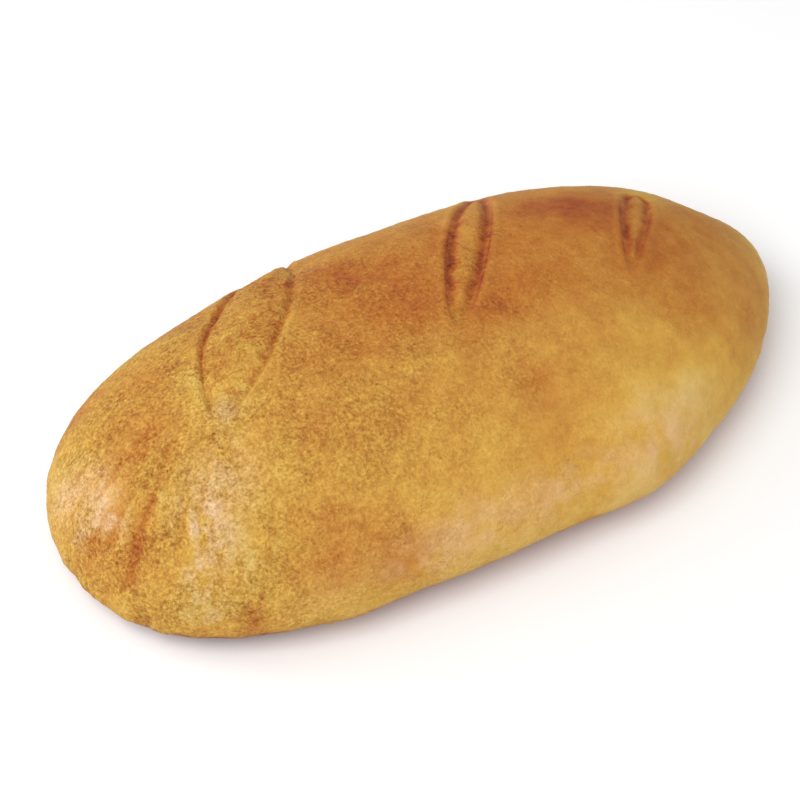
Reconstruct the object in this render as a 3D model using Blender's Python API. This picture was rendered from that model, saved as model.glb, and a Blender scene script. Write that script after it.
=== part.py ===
"""Wheat-rye bread loaf: a hand-shaped, oblong loaf with three slanting slashes in its crust.

The loaf lies along X on its flat baked base, with the base on z = 0 and the blunt end at -X.
Its surface is a mapped sphere: s runs along the loaf from -1 to 1, and t runs round each
section. Relief is then added along the surface's normals: the slashes that opened in the
oven, and the shallow swells and dents of the hand-rolled dough. All lengths are in metres.
"""

import bmesh
import bpy
import numpy as np

# Driving dimensions of the bare form
LENGTH = 0.290
WIDTH = 0.145
HEIGHT = 0.071

# Outline from above and crest from the side: each is an ellipse times a polynomial in s,
# given from the constant term up. They make the -X end blunt and the +X end slimmer.
WIDTH_TERMS = (1.0, 0.006, 0.188, -0.223, -0.032)
CREST_TERMS = (1.0, -0.064, 0.204, -0.141, -0.215)
CENTRE_TERMS = (-0.0035, -0.0038, 0.0070, 0.0038)  # the middle line's y, in powers of s

# Section: the widest level, how much lower it lies at the ends, and the undercut below it
BELLY_HEIGHT = 0.0212
BELLY_DROP = 0.332
UNDERCUT_REACH = 0.786  # share of a full quarter ellipse at which the side meets the base
SQUARENESS = 0.004  # 0 is a plain ellipse
BASE_ROUNDING = 0.0035

# Slashes: where the tip nearest to -Y lies, heading in degrees from +X towards +Y, length,
# greatest width, where along the length it is widest, how pointed the tips are, and sideways
# bow to the left of the heading. Each groove is its depth, its distance inside the left or
# right edge, and its spread. swell is the height of the torn crust between the grooves.
SLASHES = (
    {
        "tip": (-0.0894, -0.0068),
        "heading": 47.0,
        "length": 0.100,
        "width": 0.0290,
        "widest": 0.50,
        "point": 0.74,
        "bow": 0.0010,
        "left_groove": (0.0012, 0.0014, 0.0014),
        "right_groove": (0.0013, 0.0022, 0.0020),
        "swell": 0.0009,
    },
    {
        "tip": (-0.0021, -0.0183),
        "heading": 51.0,
        "length": 0.092,
        "width": 0.0156,
        "widest": 0.52,
        "point": 0.53,
        "bow": 0.0,
        "left_groove": (0.0017, 0.0023, 0.0017),
        "right_groove": (0.0017, 0.0025, 0.0019),
        "swell": 0.0002,
    },
    {
        "tip": (0.0684, -0.0225),
        "heading": 50.2,
        "length": 0.056,
        "width": 0.0118,
        "widest": 0.75,
        "point": 0.62,
        "bow": 0.0,
        "left_groove": (0.0013, 0.0021, 0.0016),
        "right_groove": (0.0013, 0.0020, 0.0015),
        "swell": 0.0001,
    },
)
LIP_HEIGHT = 0.0004  # crust curled up just outside a slash
LIP_OUT = 0.0014
LIP_SPREAD = 0.0012

# Swells and dents: centre, radius, and height (a dent's is negative). The first is the
# corner where the straight near side turns in towards the slim end.
SWELLS = (
    ((0.042, -0.068, 0.020), 0.026, 0.0042),
    ((-0.076, -0.068, 0.010), 0.016, 0.0012),
    ((0.131, 0.019, 0.032), 0.012, -0.0014),
    ((0.144, -0.004, 0.018), 0.018, 0.0010),
    ((-0.060, -0.030, 0.064), 0.040, 0.0007),
    ((-0.063, 0.045, 0.057), 0.010, -0.0015),
    ((-0.027, 0.047, 0.057), 0.008, -0.0012),
    ((0.020, -0.045, 0.062), 0.035, -0.0006),
    ((0.078, 0.004, 0.062), 0.035, 0.0006),
    ((0.030, 0.055, 0.050), 0.030, -0.0007),
    ((-0.020, 0.062, 0.034), 0.032, 0.0008),
)
RELIEF_STARTS = 0.004  # relief fades in between these heights, so the base stays flat
RELIEF_FULL = 0.012

# Mesh: cuts along each axis of the cube that becomes the loaf, and how far, in radians, its
# top face is spread down over the sides
CUTS = (45, 27, 14)
TOP_SPREAD = 0.50
# The mesh is halved where a slash's edge is nearer than these distances, one after another:
# how far outside the edge, and how far inside it
REFINED = ((0.0030, 0.0200), (0.0020, 0.0050))

CRUST_COLOUR = (0.53, 0.29, 0.085, 1.0)
CRUST_ROUGHNESS = 0.5


def polynomial(terms, s):
    """Sum of terms[n] * s**n."""
    return sum(term * s**power for power, term in enumerate(terms))


def smooth_step(low, high, value):
    """0 below low, 1 above high, and a smooth ramp between them."""
    u = np.clip((value - low) / (high - low), 0.0, 1.0)
    return u * u * (3.0 - 2.0 * u)


def rest_on_base(z):
    """Heights below the base are lifted to it, with a rounded bottom edge."""
    eased = (z + BASE_ROUNDING) ** 2 / (4.0 * BASE_ROUNDING)
    return np.where(z > BASE_ROUNDING, z, np.where(z < -BASE_ROUNDING, 0.0, eased))


def spherify(cube):
    """Points of the cube from -1 to 1, moved onto the unit sphere without crowding."""
    squares = cube**2
    others = np.stack([squares[:, [1, 2]], squares[:, [2, 0]], squares[:, [0, 1]]], axis=1)
    total = others.sum(axis=2)
    product = others.prod(axis=2)
    return cube * np.sqrt(1.0 - total / 2.0 + product / 3.0)


def spread_top(sphere):
    """Points of the unit sphere, moved down from its top towards its bottom."""
    polar = np.arccos(np.clip(sphere[:, 2], -1.0, 1.0))
    lowered = polar + TOP_SPREAD * np.sin(polar)
    outward = np.sin(lowered) / np.maximum(np.sin(polar), 1e-9)
    return np.column_stack([sphere[:, :2] * outward[:, None], np.cos(lowered)])


def on_loaf(cube):
    """Points of the cube, moved onto the bare form."""
    return bare_form(spread_top(spherify(cube)))


def bare_form(sphere):
    """Points of the unit sphere, moved onto the loaf's form before any relief."""
    s = np.clip(sphere[:, 0], -1.0, 1.0)
    t = np.arctan2(sphere[:, 2], sphere[:, 1])
    ellipse = np.sqrt(1.0 - s**2)
    across = (np.cos(t) - SQUARENESS * np.cos(3.0 * t)) / (1.0 - SQUARENESS)
    upward = (np.sin(t) + SQUARENESS * np.sin(3.0 * t)) / (1.0 - SQUARENESS)

    half_width = WIDTH / 2.0 * ellipse * polynomial(WIDTH_TERMS, s)
    belly = BELLY_HEIGHT * (1.0 - BELLY_DROP * s**2)
    above = (HEIGHT - BELLY_HEIGHT) * ellipse * polynomial(CREST_TERMS, s)
    below = BELLY_HEIGHT / UNDERCUT_REACH * np.sqrt(1.0 - s**4)

    x = LENGTH / 2.0 * s
    y = half_width * across + polynomial(CENTRE_TERMS, s)
    z = np.where(upward >= 0.0, belly + above * upward, rest_on_base(belly + below * upward))
    return np.stack([x, y, z], axis=1)


def slash_place(slash, points):
    """For each point: signed distance inside the slash's edge, how open it is there, and
    whether it lies right of the middle line."""
    angle = np.radians(slash["heading"])
    ahead = np.array([np.cos(angle), np.sin(angle)])
    right = np.array([np.sin(angle), -np.cos(angle)])
    from_tip = points[:, :2] - np.array(slash["tip"])
    along = from_tip @ ahead / slash["length"]
    inside_ends = np.clip(along, 0.0, 1.0)
    sideways = from_tip @ right + slash["bow"] * 4.0 * inside_ends * (1.0 - inside_ends)

    widest = slash["widest"]
    first = slash["point"]
    last = first * (1.0 - widest) / widest
    leaf = (inside_ends / widest) ** first * ((1.0 - inside_ends) / (1.0 - widest)) ** last
    half_width = slash["width"] / 2.0 * leaf
    past_end = np.abs(along - inside_ends) * slash["length"]
    inward = half_width - np.hypot(sideways, past_end)
    return inward, leaf, sideways > 0.0


def bump(distance, centre, spread):
    """A bell of height 1 at the centre."""
    return np.exp(-(((distance - centre) / spread) ** 2))


def groove_relief(groove, inward):
    depth, distance, spread = groove
    return -depth * bump(inward, distance, spread)


def slash_relief(slash, points):
    """A groove inside each edge, a swell between them, and a lip of crust outside."""
    inward, leaf, on_right = slash_place(slash, points)
    opened = smooth_step(0.0, 0.45, leaf)
    left = groove_relief(slash["left_groove"], inward)
    right = groove_relief(slash["right_groove"], inward)
    groove = np.where(on_right, right, left)
    swell = slash["swell"] * smooth_step(slash["left_groove"][1], slash["width"] / 2.0, inward)
    lip = LIP_HEIGHT * bump(inward, -LIP_OUT, LIP_SPREAD)
    return opened * (groove + swell + lip)


def relief(points):
    """Height of the crust's relief above the bare form."""
    height = sum(slash_relief(slash, points) for slash in SLASHES)
    for middle, radius, swell in SWELLS:
        away = np.linalg.norm(points - np.array(middle), axis=1)
        height = height + swell * bump(away, 0.0, radius)
    return height * smooth_step(RELIEF_STARTS, RELIEF_FULL, points[:, 2])


def coordinates(bm):
    return np.array([vert.co[:] for vert in bm.verts])


def place(bm, points):
    for vert, point in zip(bm.verts, points):
        vert.co = point


def cut_cube(cuts):
    """A cube from -1 to 1 with its faces cut into a grid."""
    bm = bmesh.new()
    bmesh.ops.create_cube(bm, size=2.0)
    for axis, number in enumerate(cuts):
        ends = [(edge, edge.verts[0].co, edge.verts[1].co) for edge in bm.edges]
        edges = [edge for edge, a, b in ends if abs(a[axis] - b[axis]) > 1.0]
        bmesh.ops.subdivide_edges(bm, edges=edges, cuts=number)
    return bm


def refine_slashes(bm, outside, inside):
    """Halve the faces of the top whose distance to a slash's edge lies in this band."""
    middles = np.array([face.calc_center_median()[:] for face in bm.faces])
    points = on_loaf(middles)
    inward = np.array([slash_place(slash, points)[0] for slash in SLASHES])
    near = np.any((inward > -outside) & (inward < inside), axis=0)
    near &= points[:, 2] > BELLY_HEIGHT
    edges = {edge for face, chosen in zip(bm.faces, near) if chosen for edge in face.edges}
    bmesh.ops.subdivide_edges(bm, edges=list(edges), cuts=1, use_grid_fill=True)


def add_relief(bm):
    bm.normal_update()
    points = coordinates(bm)
    normals = np.array([vert.normal[:] for vert in bm.verts])
    place(bm, points + normals * relief(points)[:, None])


def flatten_base(bm):
    """Join the level faces of the base into one."""
    level = [face for face in bm.faces if all(vert.co.z == 0.0 for vert in face.verts)]
    bmesh.ops.dissolve_faces(bm, faces=level, use_verts=True)


def centre(bm):
    """Put the middle of the bounding box over the origin, and leave the base at z = 0."""
    points = coordinates(bm)
    middle = (points.min(axis=0) + points.max(axis=0)) / 2.0
    place(bm, points - np.array([middle[0], middle[1], 0.0]))


def crust_material():
    material = bpy.data.materials.new("golden_crust")
    material.use_nodes = True
    shader = material.node_tree.nodes["Principled BSDF"]
    shader.inputs["Base Color"].default_value = CRUST_COLOUR
    shader.inputs["Roughness"].default_value = CRUST_ROUGHNESS
    shader.inputs["Metallic"].default_value = 0.0
    return material


def make_loaf():
    bm = cut_cube(CUTS)
    for outside, inside in REFINED:
        refine_slashes(bm, outside, inside)
    place(bm, on_loaf(coordinates(bm)))
    add_relief(bm)
    flatten_base(bm)
    centre(bm)
    mesh = bpy.data.meshes.new("loaf")
    bm.to_mesh(mesh)
    bm.free()
    mesh.materials.append(crust_material())
    mesh.shade_smooth()
    loaf = bpy.data.objects.new("loaf", mesh)
    bpy.context.scene.collection.objects.link(loaf)


def clear_scene():
    for old in list(bpy.data.objects):
        bpy.data.objects.remove(old)


clear_scene()
make_loaf()
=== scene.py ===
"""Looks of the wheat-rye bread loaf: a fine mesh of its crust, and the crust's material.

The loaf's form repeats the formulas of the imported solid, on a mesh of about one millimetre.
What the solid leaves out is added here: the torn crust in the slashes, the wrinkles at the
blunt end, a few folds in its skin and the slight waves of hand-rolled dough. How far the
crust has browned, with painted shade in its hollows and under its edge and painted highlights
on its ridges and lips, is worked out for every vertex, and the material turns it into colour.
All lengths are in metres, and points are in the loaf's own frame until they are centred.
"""

import math

import bmesh
import bpy
import numpy as np
from mathutils import Matrix, Vector, noise

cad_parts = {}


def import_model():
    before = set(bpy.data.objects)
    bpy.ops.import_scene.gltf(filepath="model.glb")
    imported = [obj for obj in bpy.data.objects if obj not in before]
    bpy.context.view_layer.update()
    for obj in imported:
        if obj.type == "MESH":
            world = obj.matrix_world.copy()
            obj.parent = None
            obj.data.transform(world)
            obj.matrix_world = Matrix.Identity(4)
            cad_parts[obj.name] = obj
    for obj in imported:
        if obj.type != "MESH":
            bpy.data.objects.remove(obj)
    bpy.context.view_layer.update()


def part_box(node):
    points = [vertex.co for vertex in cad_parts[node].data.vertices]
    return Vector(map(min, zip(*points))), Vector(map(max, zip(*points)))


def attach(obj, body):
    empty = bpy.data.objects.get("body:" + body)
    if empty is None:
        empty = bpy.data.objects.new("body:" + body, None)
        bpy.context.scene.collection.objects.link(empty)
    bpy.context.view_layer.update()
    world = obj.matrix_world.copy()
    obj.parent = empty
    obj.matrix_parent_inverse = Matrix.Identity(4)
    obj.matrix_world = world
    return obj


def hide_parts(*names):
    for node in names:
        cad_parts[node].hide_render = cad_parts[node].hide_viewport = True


# ---------------------------------------------------------------- the form of the solid

LENGTH = 0.290
WIDTH = 0.145
HEIGHT = 0.071

# Outline from above and crest from the side: each is an ellipse times a polynomial in s,
# given from the constant term up. s runs along the loaf from -1 to 1.
WIDTH_TERMS = (1.0, 0.006, 0.188, -0.223, -0.032)
CREST_TERMS = (1.0, -0.064, 0.204, -0.141, -0.215)
CENTRE_TERMS = (-0.0035, -0.0038, 0.0070, 0.0038)  # the middle line's y, in powers of s

# Section: the widest level, how much lower it lies at the ends, and the undercut below it
BELLY_HEIGHT = 0.0212
BELLY_DROP = 0.332
UNDERCUT_REACH = 0.786  # share of a full quarter ellipse at which the side meets the base
SQUARENESS = 0.004  # 0 is a plain ellipse
BASE_ROUNDING = 0.0035

# A slash: the tip nearest to -Y, its heading in degrees from +X towards +Y, its length and
# greatest width, where it is widest, how pointed its tips are and its sideways bow. Each
# groove is its depth, its distance inside the edge, and its spread. swell is the height of
# the torn crust between the grooves. The grooves are a little finer than the solid's.
SLASHES = (
    {
        "tip": (-0.0894, -0.0068),
        "heading": 47.0,
        "length": 0.100,
        "width": 0.0290,
        "widest": 0.50,
        "point": 0.74,
        "bow": 0.0010,
        "left_groove": (0.0013, 0.0006, 0.0014),
        "right_groove": (0.0013, 0.0012, 0.0014),
        "swell": 0.0010,
    },
    {
        "tip": (-0.0021, -0.0183),
        "heading": 51.0,
        "length": 0.092,
        "width": 0.0156,
        "widest": 0.52,
        "point": 0.53,
        "bow": 0.0,
        "left_groove": (0.0012, 0.0020, 0.0015),
        "right_groove": (0.0012, 0.0022, 0.0017),
        "swell": 0.0002,
    },
    {
        "tip": (0.0684, -0.0225),
        "heading": 50.2,
        "length": 0.056,
        "width": 0.0118,
        "widest": 0.75,
        "point": 0.62,
        "bow": 0.0,
        "left_groove": (0.0010, 0.0019, 0.0014),
        "right_groove": (0.0010, 0.0018, 0.0013),
        "swell": 0.0001,
    },
)
LIP_HEIGHT = 0.0004  # crust curled up just outside a slash
LIP_OUT = 0.0014
LIP_SPREAD = 0.0012

# Swells and dents: centre, radius, and height (a dent's is negative)
SWELLS = (
    ((0.042, -0.068, 0.020), 0.026, 0.0042),
    ((-0.076, -0.068, 0.010), 0.016, 0.0012),
    ((0.131, 0.019, 0.032), 0.012, -0.0014),
    ((0.144, -0.004, 0.018), 0.018, 0.0010),
    ((-0.060, -0.030, 0.064), 0.040, 0.0007),
    ((-0.063, 0.045, 0.057), 0.010, -0.0015),
    ((-0.027, 0.047, 0.057), 0.008, -0.0012),
    ((0.020, -0.045, 0.062), 0.035, -0.0006),
    ((0.078, 0.004, 0.062), 0.035, 0.0006),
    ((0.030, 0.055, 0.050), 0.030, -0.0007),
    ((-0.020, 0.062, 0.034), 0.032, 0.0008),
)
RELIEF_STARTS = 0.004  # relief fades in between these heights, so the base stays flat
RELIEF_FULL = 0.012

GRID = (260, 150, 64)  # faces along each edge of the cube that becomes the loaf
TOP_SPREAD = 0.50  # how far, in radians, the cube's top is spread down over the sides
TINY = 1e-9  # keeps a division clear of 0

# From here on, a ramp is where it starts and where it is full, and a noise is its strength,
# the size of its features, its octaves and its seed.
NOISE_FALL = 1.0  # how fast a noise's octaves weaken, and how much finer each is
NOISE_FINER = 2.0
GROOVE_OPENS = (0.0, 0.45)  # a ramp of how open the slash is

# ---------------------------------------------------------------- fine relief of the crust

# The torn crust: ramps of the distance inside a slash's edge and of how open the slash is,
# its crags, the level that is taken off their height, and how rough it is in each slash
TORN_INSIDE = (0.0, 0.0015)
TORN_OPENS = (0.0, 0.3)
CRAGS = (1.0, 0.0030, 3, 3.0)
CRAG_LEVEL = 0.25
TORN_ROUGHNESS = (0.00064, 0.00024, 0.00014)

# Wrinkles that run down an end of the loaf: their height, the middle and radius that they
# run round, the size of their features across and along them, and their seed
BLUNT_WRINKLES = (0.00085, (-0.080, 0.010), 0.055, 0.0055, 0.022, 11.0)
BLUNT_WRINKLES_X = (-0.085, -0.120)
BLUNT_WRINKLES_Y = (0.030, -0.010)
FAR_WRINKLES = 0.35  # share of them on the blunt end's far side
SLIM_WRINKLES = (0.00022, (0.020, 0.010), 0.080, 0.0060, 0.040, 13.0)
SLIM_WRINKLES_X = (0.020, 0.070)
SLIM_WRINKLES_Y = (-0.020, -0.045)
WRINKLE_OCTAVES = 3

WAVES = (  # the dough's wide and narrow waves, and the dimples of the blistered skin
    (0.00050, 0.026, 2, 21.0),
    (0.00016, 0.0075, 3, 31.0),
    (0.00015, 0.0026, 2, 35.0),
)

# Places along each short fold in the skin, its height (a valley's is negative) and spread
FOLDS = (
    (
        ((-0.1198, -0.0131, 0.0478), (-0.1290, -0.0199, 0.0386), (-0.1366, -0.0230, 0.0268)),
        -0.0008,
        0.0026,
    ),
    (((-0.1260, -0.0085, 0.0440), (-0.1325, -0.0150, 0.0360)), 0.0006, 0.0018),
    (((-0.1161, -0.0150, 0.0500), (-0.1228, -0.0220, 0.0434)), 0.0006, 0.0018),
    (((-0.1120, -0.0260, 0.0490), (-0.1169, -0.0384, 0.0389)), 0.0005, 0.0018),
    (((-0.1025, -0.0343, 0.0506), (-0.1074, -0.0430, 0.0423)), 0.0005, 0.0018),
    (((-0.1213, -0.0366, 0.0364), (-0.1212, -0.0433, 0.0288)), 0.0005, 0.0014),
    (
        ((-0.0864, -0.0406, 0.0539), (-0.0910, -0.0483, 0.0468), (-0.0940, -0.0499, 0.0439)),
        0.0007,
        0.0010,
    ),
    (((-0.0960, -0.0480, 0.0455), (-0.1000, -0.0520, 0.0390)), -0.0008, 0.0009),
    (((-0.1012, -0.0540, 0.0340), (-0.1045, -0.0552, 0.0290)), -0.0006, 0.0009),
)

# ---------------------------------------------------------------- how brown the crust is, with painted shade and sheen

# 0 is the palest crust and 1 the darkest
BAKE_MIDDLE = 0.32
UNEVEN_BAKE = ((0.07, 0.034, 2, 41.0), (0.06, 0.011, 3, 45.0))
TOP_BAKE = 0.34
TOP_X = (-0.100, 0.0)
TOP_Y = 0.016
TOP_REACH = 0.042
TOP_Z = (0.030, 0.062)
LOW_SIDE_BAKE = -0.19
LOW_SIDE_X = (-0.120, -0.060)
LOW_SIDE_Z = (0.045, 0.015)
# browning of the base, and painted contact shadow on the side that faces down
BOTTOM_BROWNING_AND_SHADOW = 0.62
BOTTOM_FACING = (-0.30, -0.90)  # a ramp of the normal's z
BOTTOM_WAVERS = (0.10, 0.014, 3, 81.0)
# painted highlight on the lip of crust just outside a slash
LIP_HIGHLIGHT = 0.07
CAVITY_SHADE = 230.0  # painted shade in hollows and painted light on ridges: this much browner for each metre that a place lies under the crust round it
RIDGE_HIGHLIGHT = 2200.0  # painted highlight: more of the pale colour for each metre that a place stands above the crust round it
PATCHES = (  # centre, radii along x, y and z, and how much browner or paler
    ((-0.114, 0.012, 0.053), (0.020, 0.018, 0.020), 0.24),
    ((-0.110, 0.035, 0.048), (0.018, 0.018, 0.020), 0.04),
    ((-0.133, 0.032, 0.030), (0.012, 0.012, 0.014), -0.20),
    ((-0.130, -0.020, 0.037), (0.007, 0.006, 0.012), 0.17),
    ((-0.109, -0.036, 0.046), (0.014, 0.018, 0.022), -0.14),
    ((-0.118, -0.048, 0.022), (0.009, 0.009, 0.008), -0.20),
    ((-0.1075, -0.055, 0.023), (0.0045, 0.005, 0.008), 0.36),
    ((-0.088, 0.013, 0.062), (0.007, 0.012, 0.020), -0.14),
    ((-0.079, -0.050, 0.048), (0.014, 0.012, 0.020), 0.10),
    ((-0.081, -0.063, 0.034), (0.014, 0.010, 0.012), 0.08),
    ((-0.070, -0.061, 0.042), (0.022, 0.012, 0.014), 0.07),
    ((-0.058, -0.067, 0.034), (0.022, 0.014, 0.014), 0.26),
    ((-0.026, 0.022, 0.068), (0.030, 0.020, 0.030), 0.02),
    ((-0.093, 0.031, 0.057), (0.010, 0.010, 0.020), 0.12),
    ((-0.015, -0.008, 0.071), (0.022, 0.013, 0.030), 0.14),
    ((0.020, -0.012, 0.070), (0.016, 0.012, 0.030), 0.12),
    ((-0.018, -0.041, 0.064), (0.016, 0.009, 0.020), 0.12),
    ((0.014, -0.048, 0.060), (0.018, 0.010, 0.020), 0.16),
    ((-0.010, -0.062, 0.048), (0.040, 0.012, 0.014), -0.04),
    ((-0.006, -0.073, 0.032), (0.009, 0.010, 0.012), 0.14),
    ((0.062, 0.033, 0.057), (0.030, 0.006, 0.012), -0.14),
    ((0.072, -0.004, 0.062), (0.012, 0.014, 0.020), 0.06),
    ((0.080, 0.010, 0.062), (0.028, 0.022, 0.030), 0.14),
    ((0.044, -0.032, 0.063), (0.012, 0.022, 0.030), 0.08),
    ((0.084, -0.025, 0.056), (0.015, 0.013, 0.030), 0.18),
    ((0.105, -0.006, 0.050), (0.010, 0.012, 0.020), -0.06),
    ((0.104, 0.020, 0.046), (0.013, 0.010, 0.016), -0.28),
    ((0.095, -0.040, 0.042), (0.016, 0.014, 0.020), 0.14),
    ((0.122, -0.012, 0.036), (0.018, 0.030, 0.030), 0.26),
    ((0.034, -0.046, 0.058), (0.014, 0.010, 0.016), 0.10),
    ((0.048, -0.064, 0.046), (0.022, 0.012, 0.014), -0.20),
    ((0.102, -0.048, 0.030), (0.016, 0.012, 0.014), 0.12),
    ((0.065, -0.066, 0.040), (0.011, 0.009, 0.011), -0.20),
    ((0.084, -0.060, 0.026), (0.014, 0.010, 0.012), 0.08),
    ((-0.112, 0.046, 0.026), (0.016, 0.016, 0.016), 0.12),
    ((-0.062, 0.066, 0.034), (0.022, 0.014, 0.014), 0.20),
    ((-0.012, 0.070, 0.028), (0.016, 0.012, 0.012), 0.10),
    ((0.034, 0.066, 0.038), (0.024, 0.014, 0.014), 0.18),
    ((0.090, 0.052, 0.028), (0.020, 0.016, 0.014), 0.16),
    ((0.126, 0.024, 0.022), (0.012, 0.016, 0.012), 0.10),
)
TORN_PATCHES = (  # the same, in the torn crust of the first slash
    ((-0.055, 0.018, 0.068), (0.011, 0.009, 0.020), 0.14),
    ((-0.040, 0.040, 0.061), (0.007, 0.007, 0.020), 0.20),
    ((-0.077, 0.012, 0.064), (0.005, 0.006, 0.020), 0.12),
    ((-0.085, -0.003, 0.064), (0.005, 0.006, 0.020), -0.22),
)
FLOUR_AND_SHEEN = (  # pale, greyish places, partly flour and partly painted sheen: centre, radii, amount
    ((-0.131, 0.007, 0.040), (0.007, 0.009, 0.010), 0.60),
    ((-0.132, -0.005, 0.038), (0.006, 0.006, 0.008), 1.10),
    ((-0.137, 0.017, 0.031), (0.008, 0.008, 0.009), 0.50),
    ((-0.139, 0.001, 0.030), (0.005, 0.004, 0.006), 0.45),
    ((-0.097, -0.022, 0.057), (0.010, 0.010, 0.012), 0.42),
    ((-0.110, -0.032, 0.047), (0.008, 0.009, 0.012), 1.15),
    ((-0.116, -0.041, 0.036), (0.007, 0.007, 0.010), 0.55),
    ((-0.118, -0.048, 0.022), (0.006, 0.006, 0.006), 0.40),
    ((-0.0855, -0.0045, 0.064), (0.004, 0.005, 0.012), 0.34),
    ((-0.085, -0.064, 0.027), (0.014, 0.010, 0.008), 0.10),
    ((-0.050, -0.072, 0.028), (0.016, 0.012, 0.010), 0.34),
    ((-0.028, -0.071, 0.035), (0.016, 0.010, 0.009), 0.48),
    ((0.008, -0.074, 0.034), (0.018, 0.012, 0.010), 0.48),
    ((0.048, -0.073, 0.035), (0.021, 0.012, 0.012), 0.62),
)
RAGGED_FLOUR_AND_SHEEN = (1.3, 0.0060, 3, 61.0)
MOST_RAGGED = 1.6  # the most that the raggedness of the flour and painted sheen strengthens it

BLUNT_GRAIN = 1.22  # strength of the crust's grain at either end
SLIM_GRAIN = 0.24
GRAIN_X = (-0.128, 0.090)
LOW_GRAIN = 0.60  # share of it on the low near side
LOW_GRAIN_X = (-0.110, -0.070)
LOW_GRAIN_Y = (-0.035, -0.065)
PATCHY_GRAIN = (0.45, 0.0120, 3, 71.0)

RIM_INSIDE = 0.0003  # the dark line where the torn crust meets the skin
RIM_WIDTH = 0.0006
RIM_NEAR = (-0.006, -0.002)  # a ramp of the distance inside the slash's edge
RIM_BEGINS = (0.0, 0.06)  # a ramp along the slash
RIM_FADED = 0.3  # what is left of a rim past where it fades

# For each slash: the browned band inside either edge, as how much browner, its distance
# inside the edge and its spread; where along the slash the bands begin; how brown the torn
# crust between them is near the tip and at the far end, how mottled and how coarse; how
# dark either edge's rim is, and where along the slash it fades.
SEARS = (
    {
        "left": (0.30, 0.0005, 0.0019),
        "right": (0.12, 0.0022, 0.0024),
        "begins": (0.12, 0.30),
        "between": (0.32, 0.42),
        "mottle": 0.22,
        "coarse": 1.0,
        "rims": (0.36, 0.22),
        "rim_fades": (0.18, 0.45),
    },
    {
        "left": (0.34, 0.0018, 0.0021),
        "right": (0.34, 0.0024, 0.0024),
        "begins": (0.02, 0.24),
        "between": (0.52, 0.46),
        "mottle": 0.09,
        "coarse": 0.6,
        "rims": (0.12, 0.12),
        "rim_fades": (0.50, 1.00),
    },
    {
        "left": (0.30, 0.0022, 0.0020),
        "right": (0.26, 0.0018, 0.0016),
        "begins": (0.02, 0.28),
        "between": (0.56, 0.50),
        "mottle": 0.08,
        "coarse": 0.3,
        "rims": (0.08, 0.05),
        "rim_fades": (0.50, 1.00),
    },
)
TORN_RUN = (0.1, 0.7)  # a ramp along the slash, from how brown it is near the tip
MOTTLE = (1.0, 0.0045, 4, 51.0)
SEAR_MOTTLE = 2.0  # how much more the bands are mottled than the crust between them
RAGGED_SEAR = (0.0008, 0.0060, 4, 55.0)

# ---------------------------------------------------------------- camera, lights and floor

CAMERA_ELEVATION = math.radians(46.0)
CAMERA_YAW = math.radians(-33.345)
CAMERA_DISTANCE = 0.928
CAMERA_LENS = 118.5  # millimetres, for a 36 mm sensor
CAMERA_AIM = (-0.0151, 0.0027, 0.0263)

LIGHT_DISTANCE = 1.3
LIGHTS = (  # name, direction from the loaf, diameter, and power in watts
    ("key", (-0.54, -0.28, 0.77), 1.0, 11.8),
    ("fill", (0.62, -0.60, 0.50), 0.8, 2.0),
    ("back", (-0.58, 0.76, 0.30), 0.8, 8.0),
)
WORLD_COLOUR = (1.0, 1.0, 1.0, 1.0)
WORLD_STRENGTH = 0.60
FLOOR_RADIUS = 4.0
FLOOR_SIDES = 96
FLOOR_DROP = 0.0001  # keeps the floor clear of the base
FLOOR_COLOUR = (0.90, 0.90, 0.90, 1.0)
FLOOR_ROUGHNESS = 0.9


def polynomial(terms, s):
    """Sum of terms[n] * s**n."""
    return sum(term * s**power for power, term in enumerate(terms))


def smooth_step(low, high, value):
    """0 below low, 1 above high, and a smooth ramp between them."""
    u = np.clip((value - low) / (high - low), 0.0, 1.0)
    return u * u * (3.0 - 2.0 * u)


def bump(distance, centre, spread):
    """A bell of height 1 at the centre."""
    return np.exp(-(((distance - centre) / spread) ** 2))


def blob(points, centre, radii):
    """A rounded patch: 1 at its centre, fading outwards over the radii."""
    away = (points - np.array(centre)) / np.array(radii)
    return np.exp(-np.sum(away**2, axis=1))


def mixed(first, second, share):
    """first where the share is 0, second where it is 1."""
    return first + (second - first) * share


def clouds(points, strength, size, octaves, seed):
    """Fractal noise about 0, with features of this size."""
    places = (points / size + seed).tolist()
    values = [noise.fractal(place, NOISE_FALL, NOISE_FINER, octaves) for place in places]
    return strength * np.array(values)


# ---------------------------------------------------------------- the bare form


def rest_on_base(z):
    """Heights below the base are lifted to it, with a rounded bottom edge."""
    eased = (z + BASE_ROUNDING) ** 2 / (4.0 * BASE_ROUNDING)
    return np.where(z > BASE_ROUNDING, z, np.where(z < -BASE_ROUNDING, 0.0, eased))


def spherify(cube):
    """Points of the cube from -1 to 1, moved onto the unit sphere without crowding."""
    squares = cube**2
    others = np.stack([squares[:, [1, 2]], squares[:, [2, 0]], squares[:, [0, 1]]], axis=1)
    total = others.sum(axis=2)
    product = others.prod(axis=2)
    return cube * np.sqrt(1.0 - total / 2.0 + product / 3.0)


def spread_top(sphere):
    """Points of the unit sphere, moved down from its top towards its bottom."""
    polar = np.arccos(np.clip(sphere[:, 2], -1.0, 1.0))
    lowered = polar + TOP_SPREAD * np.sin(polar)
    outward = np.sin(lowered) / np.maximum(np.sin(polar), TINY)
    return np.column_stack([sphere[:, :2] * outward[:, None], np.cos(lowered)])


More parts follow.
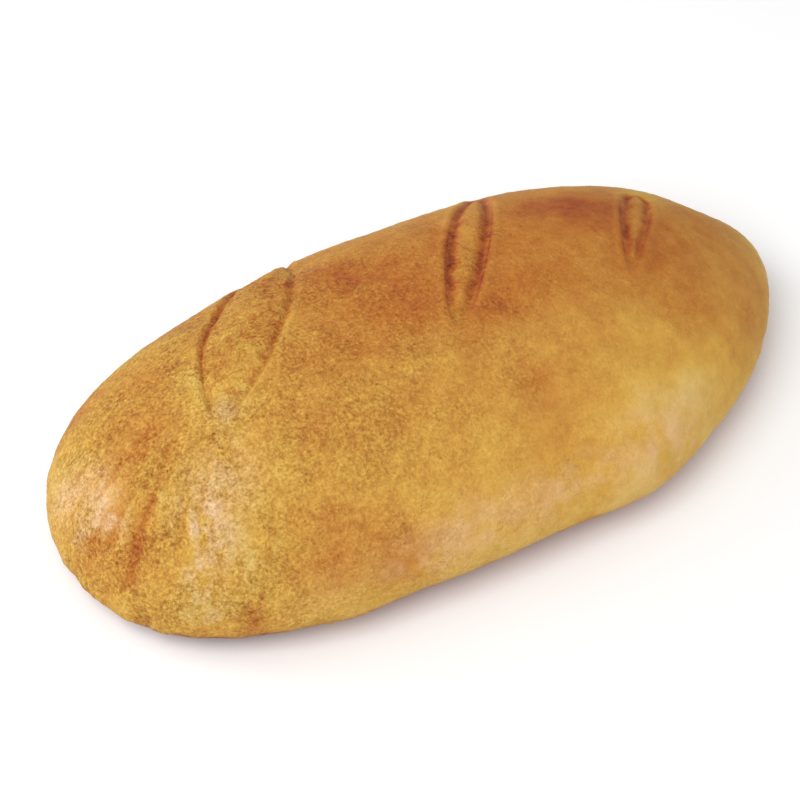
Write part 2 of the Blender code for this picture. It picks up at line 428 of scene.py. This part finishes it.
def bare_form(sphere):
    """Points of the unit sphere, moved onto the loaf's form before any relief."""
    s = np.clip(sphere[:, 0], -1.0, 1.0)
    t = np.arctan2(sphere[:, 2], sphere[:, 1])
    ellipse = np.sqrt(1.0 - s**2)
    across = (np.cos(t) - SQUARENESS * np.cos(3.0 * t)) / (1.0 - SQUARENESS)
    upward = (np.sin(t) + SQUARENESS * np.sin(3.0 * t)) / (1.0 - SQUARENESS)

    half_width = WIDTH / 2.0 * ellipse * polynomial(WIDTH_TERMS, s)
    belly = BELLY_HEIGHT * (1.0 - BELLY_DROP * s**2)
    above = (HEIGHT - BELLY_HEIGHT) * ellipse * polynomial(CREST_TERMS, s)
    below = BELLY_HEIGHT / UNDERCUT_REACH * np.sqrt(1.0 - s**4)

    x = LENGTH / 2.0 * s
    y = half_width * across + polynomial(CENTRE_TERMS, s)
    z = np.where(upward >= 0.0, belly + above * upward, rest_on_base(belly + below * upward))
    return np.stack([x, y, z], axis=1)


def slash_place(slash, points):
    """For each point: signed distance inside the slash's edge, how open it is there, how far
    along it lies, and whether it lies right of the middle line."""
    angle = np.radians(slash["heading"])
    ahead = np.array([np.cos(angle), np.sin(angle)])
    right = np.array([np.sin(angle), -np.cos(angle)])
    from_tip = points[:, :2] - np.array(slash["tip"])
    along = from_tip @ ahead / slash["length"]
    inside_ends = np.clip(along, 0.0, 1.0)
    sideways = from_tip @ right + slash["bow"] * 4.0 * inside_ends * (1.0 - inside_ends)

    widest = slash["widest"]
    first = slash["point"]
    last = first * (1.0 - widest) / widest
    leaf = (inside_ends / widest) ** first * ((1.0 - inside_ends) / (1.0 - widest)) ** last
    half_width = slash["width"] / 2.0 * leaf
    past_end = np.abs(along - inside_ends) * slash["length"]
    inward = half_width - np.hypot(sideways, past_end)
    return inward, leaf, inside_ends, sideways > 0.0


def band(shape, inward):
    """A band along a slash's edge: shape is its strength, distance inside, and spread."""
    strength, distance, spread = shape
    return strength * bump(inward, distance, spread)


def slash_relief(slash, inward, leaf, on_right):
    """A groove inside each edge, a swell between them, and a lip of crust outside."""
    opened = smooth_step(*GROOVE_OPENS, leaf)
    left = band(slash["left_groove"], inward)
    right = band(slash["right_groove"], inward)
    groove = -np.where(on_right, right, left)
    swell = slash["swell"] * smooth_step(slash["left_groove"][1], slash["width"] / 2.0, inward)
    lip = LIP_HEIGHT * bump(inward, -LIP_OUT, LIP_SPREAD)
    return opened * (groove + swell + lip)


def swell_relief(points):
    """The swells and dents of the whole loaf."""
    height = np.zeros(len(points))
    for middle, radius, swell in SWELLS:
        away = np.linalg.norm(points - np.array(middle), axis=1)
        height += swell * bump(away, 0.0, radius)
    return height


def solid_relief(points):
    """The swells and slashes, which the solid has too."""
    height = swell_relief(points)
    for slash in SLASHES:
        inward, leaf, _, on_right = slash_place(slash, points)
        height += slash_relief(slash, inward, leaf, on_right)
    return height * smooth_step(RELIEF_STARTS, RELIEF_FULL, points[:, 2])


# ---------------------------------------------------------------- the fine relief


def torn_mask(inward, leaf):
    """1 on the torn crust inside a slash, 0 outside it."""
    return smooth_step(*TORN_INSIDE, inward) * smooth_step(*TORN_OPENS, leaf)


def torn_relief(points):
    """Small crags in the crust that tore open in the oven."""
    crags = np.abs(clouds(points, *CRAGS)) - CRAG_LEVEL
    height = np.zeros(len(points))
    for slash, roughness in zip(SLASHES, TORN_ROUGHNESS):
        inward, leaf, _, _ = slash_place(slash, points)
        height += roughness * torn_mask(inward, leaf)
    return height * crags


def wrinkles(points, height, middle, radius, across, along, seed):
    """Noise drawn out along lines that run down the loaf's end, round this middle."""
    from_middle = points - np.array([*middle, 0.0])
    angle = np.arctan2(from_middle[:, 1], from_middle[:, 0])
    out = np.hypot(from_middle[:, 0], from_middle[:, 1])
    places = np.column_stack([angle * radius / across, out / along, points[:, 2] / along])
    return clouds(places, height, 1.0, WRINKLE_OCTAVES, seed)


def wrinkle_relief(points):
    """Wrinkles in the skin at the blunt end, and fainter ones at the slim end's low side."""
    x, y = points[:, 0], points[:, 1]
    blunt = mixed(FAR_WRINKLES, 1.0, smooth_step(*BLUNT_WRINKLES_Y, y))
    blunt *= smooth_step(*BLUNT_WRINKLES_X, x)
    slim = smooth_step(*SLIM_WRINKLES_X, x) * smooth_step(*SLIM_WRINKLES_Y, y)
    return blunt * wrinkles(points, *BLUNT_WRINKLES) + slim * wrinkles(points, *SLIM_WRINKLES)


def distance_to_line(points, start, end):
    """How far each point is from the straight line between these two."""
    start = np.array(start)
    run = np.array(end) - start
    share = np.clip((points - start) @ run / (run @ run), 0.0, 1.0)
    return np.linalg.norm(points - start - share[:, None] * run, axis=1)


def fold_relief(points):
    """Short ridges and valleys in the skin."""
    height = np.zeros(len(points))
    for places, rise, spread in FOLDS:
        pieces = zip(places, places[1:])
        away = np.min([distance_to_line(points, *piece) for piece in pieces], axis=0)
        height += rise * bump(away, 0.0, spread)
    return height


def wave_relief(points):
    """The slight unevenness of dough rolled by hand, and the blistered skin's dimples."""
    return sum(clouds(points, *wave) for wave in WAVES)


def fine_relief(points):
    """All the relief that the solid leaves out."""
    height = torn_relief(points) + wrinkle_relief(points)
    height += fold_relief(points) + wave_relief(points)
    return height * smooth_step(RELIEF_STARTS, RELIEF_FULL, points[:, 2])


# ---------------------------------------------------------------- browning, painted shade and painted sheen


def patches(points, places):
    """Sum of rounded patches, each a centre, its radii and an amount."""
    return sum(amount * blob(points, centre, radii) for centre, radii, amount in places)


def crust_browning_and_shade(points, fine):
    """How brown the unbroken crust is, with painted shade in its hollows and painted light on its
    ridges.
    """
    x, y, z = points.T
    top = bump(y, TOP_Y, TOP_REACH) * smooth_step(*TOP_Z, z) * smooth_step(*TOP_X, x)
    low_side = smooth_step(*LOW_SIDE_Z, z) * smooth_step(*LOW_SIDE_X, x)
    browning_and_shade = BAKE_MIDDLE + TOP_BAKE * top + LOW_SIDE_BAKE * low_side
    browning_and_shade += patches(points, PATCHES)
    browning_and_shade += sum(clouds(points, *uneven) for uneven in UNEVEN_BAKE)
    # painted shade in the hollows of the fine relief, and painted light on its ridges
    return browning_and_shade - CAVITY_SHADE * fine


def browning_and_shade_of(points, fine):
    """How brown the crust is, with its painted shade, the torn crust in the slashes, the bands
    along it and a painted highlight on the lip outside each.
    """
    browning_and_shade = crust_browning_and_shade(points, fine)
    mottle = clouds(points, *MOTTLE)
    ragged = clouds(points, *RAGGED_SEAR)
    torn_patches = patches(points, TORN_PATCHES)
    for slash, sear in zip(SLASHES, SEARS):
        inward, leaf, along, on_right = slash_place(slash, points)
        mottled = sear["mottle"] * mottle
        torn_bake = mixed(*sear["between"], smooth_step(*TORN_RUN, along)) + torn_patches
        browning_and_shade += torn_mask(inward, leaf) * (torn_bake + mottled - browning_and_shade)
        left = band(sear["left"], inward + ragged)
        right = band(sear["right"], inward + ragged)
        seared = np.where(on_right, right, left) * smooth_step(*sear["begins"], along)
        browning_and_shade += seared * smooth_step(*TORN_OPENS, leaf) * (1.0 + SEAR_MOTTLE * mottled)
        # a painted highlight on the lip just outside the slash
        browning_and_shade -= LIP_HIGHLIGHT * bump(inward, -LIP_OUT, LIP_SPREAD) * leaf
    return browning_and_shade


def bottom_browning_and_shadow(points, normals):
    """How much browner the base and the side facing down are, partly browning from the oven's
    floor and partly painted contact shadow, with a wavering edge where it leaves that floor.
    """
    wavering = clouds(points, *BOTTOM_WAVERS)
    return BOTTOM_BROWNING_AND_SHADOW * smooth_step(*BOTTOM_FACING, normals[:, 2] + wavering)


def flour_and_sheen_of(points, fine):
    """How much flour and painted sheen pale the crust: most on ridges, and in ragged patches."""
    ragged = 1.0 + RIDGE_HIGHLIGHT * fine + clouds(points, *RAGGED_FLOUR_AND_SHEEN)
    return patches(points, FLOUR_AND_SHEEN) * np.clip(ragged, 0.0, MOST_RAGGED)


def grain_of(points):
    """How strong the grain of the crust is: most at the blunt end."""
    x, y = points[:, 0], points[:, 1]
    low = smooth_step(*LOW_GRAIN_Y, y) * smooth_step(*LOW_GRAIN_X, x)
    grain = mixed(BLUNT_GRAIN, SLIM_GRAIN, smooth_step(*GRAIN_X, x)) * mixed(1.0, LOW_GRAIN, low)
    return grain * (1.0 + clouds(points, *PATCHY_GRAIN))


def torn_fields(points):
    """How coarsely the crust is torn, how far inside the nearest slash, and its rim's darkness."""
    fields = {name: np.zeros(len(points)) for name in ("torn", "rim")}
    fields["inward"] = np.full(len(points), -np.inf)
    for slash, sear in zip(SLASHES, SEARS):
        inward, leaf, along, on_right = slash_place(slash, points)
        fields["torn"] += sear["coarse"] * torn_mask(inward, leaf)
        fields["inward"] = np.maximum(fields["inward"], inward)
        left, right = sear["rims"]
        near = smooth_step(*RIM_NEAR, inward) * smooth_step(*RIM_BEGINS, along)
        near *= mixed(1.0, RIM_FADED, smooth_step(*sear["rim_fades"], along))
        fields["rim"] += near * np.where(on_right, right, left)
    return fields


# ---------------------------------------------------------------- mesh


def cube_lattice(counts):
    """Points and faces of a cube from -1 to 1, with this many faces along each axis."""
    steps = np.array(counts) + 1
    corners = []
    for axis in range(3):
        u_axis, v_axis = (axis + 1) % 3, (axis + 2) % 3
        u, v = np.meshgrid(range(counts[u_axis]), range(counts[v_axis]), indexing="ij")
        for level in (0, counts[axis]):
            quads = np.zeros((u.size, 4, 3), int)
            quads[:, :, axis] = level
            quads[:, :, u_axis] = u.reshape(-1, 1) + (0, 1, 1, 0)
            quads[:, :, v_axis] = v.reshape(-1, 1) + (0, 0, 1, 1)
            corners.append(quads if level else quads[:, ::-1])
    corners = np.concatenate(corners)
    codes = (corners[..., 0] * steps[1] + corners[..., 1]) * steps[2] + corners[..., 2]
    _, first, faces = np.unique(codes, return_index=True, return_inverse=True)
    points = corners.reshape(-1, 3)[first] / np.array(counts) * 2.0 - 1.0
    return points, faces.reshape(-1, 4)


def vertex_normals(points, faces):
    """The mean normal of the four-sided faces round each point, larger faces counting more."""
    a, b, c, d = (points[faces[:, corner]] for corner in range(4))
    face_normals = np.cross(c - a, d - b)
    normals = np.zeros_like(points)
    for corner in range(4):
        np.add.at(normals, faces[:, corner], face_normals)
    return normals / np.linalg.norm(normals, axis=1, keepdims=True)


def middle_of(points):
    """The middle of the points' bounding box."""
    return (points.min(axis=0) + points.max(axis=0)) / 2.0


def make_mesh(name, points, faces, fields):
    """A mesh with one float attribute for each field."""
    mesh = bpy.data.meshes.new(name)
    mesh.from_pydata(points.tolist(), [], faces.tolist())
    for field, values in fields.items():
        attribute = mesh.attributes.new(field, "FLOAT", "POINT")
        attribute.data.foreach_set("value", values.astype(np.float32))
    return mesh


def join_base(mesh):
    """Join the level faces of the base into one."""
    bm = bmesh.new()
    bm.from_mesh(mesh)
    level = [face for face in bm.faces if all(vert.co.z == 0.0 for vert in face.verts)]
    bmesh.ops.dissolve_faces(bm, faces=level, use_verts=True)
    bm.to_mesh(mesh)
    bm.free()


def make_loaf():
    """The whole loaf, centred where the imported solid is."""
    cube, faces = cube_lattice(GRID)
    bare = bare_form(spread_top(spherify(cube)))
    normals = vertex_normals(bare, faces)
    as_solid = bare + normals * solid_relief(bare)[:, None]
    fine = fine_relief(bare)
    points = as_solid + normals * fine[:, None]
    fields = torn_fields(bare)
    fields["grain"] = grain_of(bare)
    fields["flour_and_sheen"] = flour_and_sheen_of(bare, fine)
    fields["browning_and_shade"] = browning_and_shade_of(bare, fine) + bottom_browning_and_shadow(bare, normals)

    low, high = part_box("loaf")
    shift = (np.array(low) + np.array(high)) / 2.0 - middle_of(as_solid)
    shift[2] = 0.0
    mesh = make_mesh("crust", points + shift, faces, fields)
    join_base(mesh)
    mesh.shade_smooth()
    crust = bpy.data.objects.new("crust", mesh)
    bpy.context.scene.collection.objects.link(crust)
    return crust


# ---------------------------------------------------------------- materials


def linear(red, green, blue):
    """A colour given in 0 to 255 as displayed, as Blender's linear values."""
    parts = np.array([red, green, blue]) / 255.0
    parts = np.where(parts <= 0.04045, parts / 12.92, ((parts + 0.055) / 1.055) ** 2.4)
    return (*parts.tolist(), 1.0)


class Nodes:
    """A short way to write a node tree."""

    def __init__(self, material):
        material.use_nodes = True
        self.tree = material.node_tree
        self.shader = self.tree.nodes["Principled BSDF"]

    def add(self, kind, inputs=None, **settings):
        """A node, given each input as a number, a colour or another node's output."""
        node = self.tree.nodes.new(kind)
        for name, value in settings.items():
            setattr(node, name, value)
        for name, value in (inputs or {}).items():
            self.put(node, name, value)
        return node

    def put(self, node, name, value):
        if isinstance(value, bpy.types.NodeSocket):
            self.tree.links.new(value, node.inputs[name])
        else:
            node.inputs[name].default_value = value

    def math(self, operation, *values):
        inputs = dict(enumerate(values))
        return self.add("ShaderNodeMath", inputs, operation=operation).outputs[0]

    def times(self, first, second):
        return self.math("MULTIPLY", first, second)

    def attribute(self, name):
        return self.add("ShaderNodeAttribute", attribute_name=name).outputs["Fac"]

    def noise(self, vector, size, detail, roughness):
        """Noise about 0.5 with features of this size in metres."""
        inputs = {"Vector": vector, "Scale": 1.0 / size, "Detail": detail, "Roughness": roughness}
        return self.add("ShaderNodeTexNoise", inputs).outputs["Fac"]

    def cells(self, vector, size):
        """Cells of this size in metres, as distances from their middles and random colours."""
        return self.add("ShaderNodeTexVoronoi", {"Vector": vector, "Scale": 1.0 / size}).outputs

    def centred(self, value, strength):
        """The value's distance from 0.5, times the strength."""
        return self.times(self.math("SUBTRACT", value, 0.5), strength)

    def fade(self, value, start, end):
        """1 where the value is at the start, 0 where it is at the end."""
        inputs = {"Value": value, 1: start, 2: end, 3: 1.0, 4: 0.0}
        return self.add("ShaderNodeMapRange", inputs, interpolation_type="SMOOTHSTEP").outputs[0]

    def spots(self, vector, size, radius, share):
        """Round spots in this share of cells of this size, 1 at their middles."""
        cells = self.cells(vector, size)
        spot = self.fade(cells["Distance"], 0.0, radius)
        draw = self.add("ShaderNodeSeparateColor", {"Color": cells["Color"]}).outputs[0]
        return self.times(spot, self.math("LESS_THAN", draw, share))

    def line(self, value, level, width):
        """1 where the value is at this level, 0 where it is this far from it."""
        return self.fade(self.math("ABSOLUTE", self.math("SUBTRACT", value, level)), 0.0, width)

    def weighted(self, start, marks, weights):
        """start plus each mark times its weight."""
        total = start
        for name, weight in weights.items():
            total = self.math("MULTIPLY_ADD", marks[name], weight, total)
        return total

    def scaled(self, colour, factor):
        inputs = {0: colour, "Scale": factor}
        return self.add("ShaderNodeVectorMath", inputs, operation="SCALE").outputs["Vector"]

    def ramp(self, value, stops):
        node = self.add("ShaderNodeValToRGB", {"Fac": value})
        elements = node.color_ramp.elements
        while len(elements) < len(stops):
            elements.new(0.5)
        for element, (position, colour) in zip(elements, stops):
            element.position = position
            element.color = colour
        return node.outputs["Color"]

    def mix(self, factor, first, second):
        """The first colour where the factor is 0 or less, the second where it is 1 or more."""
        inputs = {"Factor": factor, 6: first, 7: second}
        return self.add("ShaderNodeMix", inputs, data_type="RGBA", clamp_factor=True).outputs[2]


CRUST_STOPS = (  # how brown the crust is, and its colour there
    (0.00, linear(206, 172, 97)),
    (0.25, linear(199, 154, 70)),
    (0.45, linear(187, 133, 61)),
    (0.65, linear(175, 109, 48)),
    (0.82, linear(158, 82, 42)),
    (1.00, linear(112, 52, 30)),
)
# the pale colour of flour and of painted sheen
FLOUR_AND_SHEEN_COLOUR = linear(215, 177, 140)
CRUST_ROUGHNESS = 0.51
CRUST_SPECULAR = 0.03
CRUST_SHADE = 0.99
BUMP_HEIGHT = 0.0006

# The marks on the crust. A mark's noise is the size of its features, its detail and its
# roughness. Spots are the size of their cells, their radius as a share of it, and the share
# of the cells that have one.
GRAIN = (0.0010, 3.0, 0.75)
SPECKLE = (0.0024, 3.0, 0.6)
CLOUD = (0.0065, 3.0, 0.6)
BLISTER_SIZE = 0.0016
PITS = (0.0020, 0.34, 0.35)
GLINTS = (0.0014, 0.36, 0.35)
CRACKS = (0.0070, 2.0, 0.55)
CRACK_WIDTH = 0.022  # of the noise's range
CRACK_BREAKS = (0.00, -0.10)  # the speckle where a crack is whole, and where it is gone
RIM_WANDER = 0.0012  # how far the rim wanders where the speckle is 1

# What each mark adds to how brown the crust is, how ragged its flour and painted sheen are,
# how much of them there is, its shade, its roughness and the height of its bumps
BAKE_MARKS = {
    "grain": -0.48,
    "speckle": -0.38,
    "cloud": -0.15,
    "blisters": 0.20,
    "cracks": 0.22,
    "rim": 0.60,
    "pits": 0.10,
}
FLOUR_AND_SHEEN_RAGS = {"speckle": 1.3, "grain": 1.3}
FLOUR_AND_SHEEN_LEFT = 0.55  # the share of the flour and painted sheen where its marks add nothing
FLOUR_AND_SHEEN_MARKS = {"glints": 0.20, "torn_glints": 0.08, "glints_in_sheen": 0.40}
SHADE_MARKS = {"grain": 1.00, "speckle": 0.38, "cloud": 0.25, "blisters": -0.12, "pits": -0.05}
ROUGHNESS_MARKS = {"grain": 0.20, "speckle": 0.10}
HEIGHT_MARKS = {
    "grain": 1.4,
    "speckle": 1.5,
    "pits": -0.5,
    "glints": 0.2,
    "blisters": -0.5,
    "cracks": -0.4,
    "rim": -0.6,
}


def crust_marks(nodes):
    """The marks on the crust, by name, each as strong as the mesh says at that place."""
    where = nodes.add("ShaderNodeTexCoord").outputs["Object"]
    strength = nodes.attribute("grain")
    torn = nodes.attribute("torn")
    speckle = nodes.centred(nodes.noise(where, *SPECKLE), strength)
    glints = nodes.times(nodes.spots(where, *GLINTS), strength)
    cracks = nodes.times(nodes.line(nodes.noise(where, *CRACKS), 0.5, CRACK_WIDTH), torn)
    inward = nodes.math("MULTIPLY_ADD", speckle, RIM_WANDER, nodes.attribute("inward"))
    return {
        "grain": nodes.centred(nodes.noise(where, *GRAIN), strength),
        "speckle": speckle,
        "cloud": nodes.centred(nodes.noise(where, *CLOUD), 1.0),
        "blisters": nodes.centred(nodes.cells(where, BLISTER_SIZE)["Distance"], strength),
        "pits": nodes.times(nodes.spots(where, *PITS), strength),
        "glints": glints,
        "torn_glints": nodes.times(glints, torn),
        "glints_in_sheen": nodes.times(glints, nodes.attribute("flour_and_sheen")),
        "cracks": nodes.times(cracks, nodes.fade(speckle, *CRACK_BREAKS)),
        "rim": nodes.times(nodes.line(inward, RIM_INSIDE, RIM_WIDTH), nodes.attribute("rim")),
    }


def crust_material():
    """Golden crust, from the browning with its painted shade, the flour and painted sheen, and the
    marks.
    """
    material = bpy.data.materials.new("golden_crust")
    nodes = Nodes(material)
    marks = crust_marks(nodes)
    browning_and_shade = nodes.weighted(nodes.attribute("browning_and_shade"), marks, BAKE_MARKS)
    ragged = nodes.weighted(FLOUR_AND_SHEEN_LEFT, marks, FLOUR_AND_SHEEN_RAGS)
    flour_and_sheen = nodes.times(nodes.attribute("flour_and_sheen"), ragged)
    flour_and_sheen = nodes.weighted(flour_and_sheen, marks, FLOUR_AND_SHEEN_MARKS)
    colour = nodes.mix(flour_and_sheen, nodes.ramp(browning_and_shade, CRUST_STOPS), FLOUR_AND_SHEEN_COLOUR)
    shade = nodes.weighted(CRUST_SHADE, marks, SHADE_MARKS)
    roughness = nodes.weighted(CRUST_ROUGHNESS, marks, ROUGHNESS_MARKS)
    height = nodes.weighted(0.0, marks, HEIGHT_MARKS)
    bumps = nodes.add("ShaderNodeBump", {"Distance": BUMP_HEIGHT, "Height": height})
    nodes.put(nodes.shader, "Base Color", nodes.scaled(colour, shade))
    nodes.put(nodes.shader, "Roughness", roughness)
    nodes.put(nodes.shader, "Specular IOR Level", CRUST_SPECULAR)
    nodes.put(nodes.shader, "Normal", bumps.outputs["Normal"])
    return material


def plain_material(name, colour, roughness):
    material = bpy.data.materials.new(name)
    nodes = Nodes(material)
    nodes.put(nodes.shader, "Base Color", colour)
    nodes.put(nodes.shader, "Roughness", roughness)
    return material


# ---------------------------------------------------------------- surroundings


def make_floor():
    bpy.ops.mesh.primitive_circle_add(vertices=FLOOR_SIDES, radius=FLOOR_RADIUS, fill_type="NGON")
    floor = bpy.context.object
    floor.name = "floor"
    floor.location.z = -FLOOR_DROP
    floor.data.materials.append(plain_material("pale_floor", FLOOR_COLOUR, FLOOR_ROUGHNESS))


def make_light(name, direction, size, power):
    """A round light that shines on the loaf from this direction."""
    light = bpy.data.lights.new(name, "AREA")
    light.shape = "DISK"
    light.size = size
    light.energy = power
    lamp = bpy.data.objects.new(name, light)
    bpy.context.scene.collection.objects.link(lamp)
    away = Vector(direction).normalized()
    turn = away.to_track_quat("Z", "Y").to_matrix().to_4x4()
    lamp.matrix_world = Matrix.Translation(away * LIGHT_DISTANCE) @ turn


def light_scene():
    world = bpy.data.worlds.new("studio")
    world.use_nodes = True
    background = world.node_tree.nodes["Background"]
    background.inputs["Color"].default_value = WORLD_COLOUR
    background.inputs["Strength"].default_value = WORLD_STRENGTH
    bpy.context.scene.world = world
    for light in LIGHTS:
        make_light(*light)


def make_camera():
    yaw, up = CAMERA_YAW, CAMERA_ELEVATION
    back = Vector((math.sin(yaw) * math.cos(up), -math.cos(yaw) * math.cos(up), math.sin(up)))
    right = Vector((math.cos(yaw), math.sin(yaw), 0.0))
    turn = Matrix((right, back.cross(right), back)).transposed().to_4x4()
    camera = bpy.data.objects.new("camera", bpy.data.cameras.new("camera"))
    camera.data.lens = CAMERA_LENS
    camera.matrix_world = Matrix.Translation(Vector(CAMERA_AIM) + back * CAMERA_DISTANCE) @ turn
    bpy.context.scene.collection.objects.link(camera)
    bpy.context.scene.camera = camera


def main():
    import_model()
    make_camera()
    light_scene()
    make_floor()
    bpy.context.scene.view_settings.view_transform = "Standard"

    crust = make_loaf()
    crust.data.materials.append(crust_material())
    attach(crust, "root")
    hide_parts("loaf")


main()
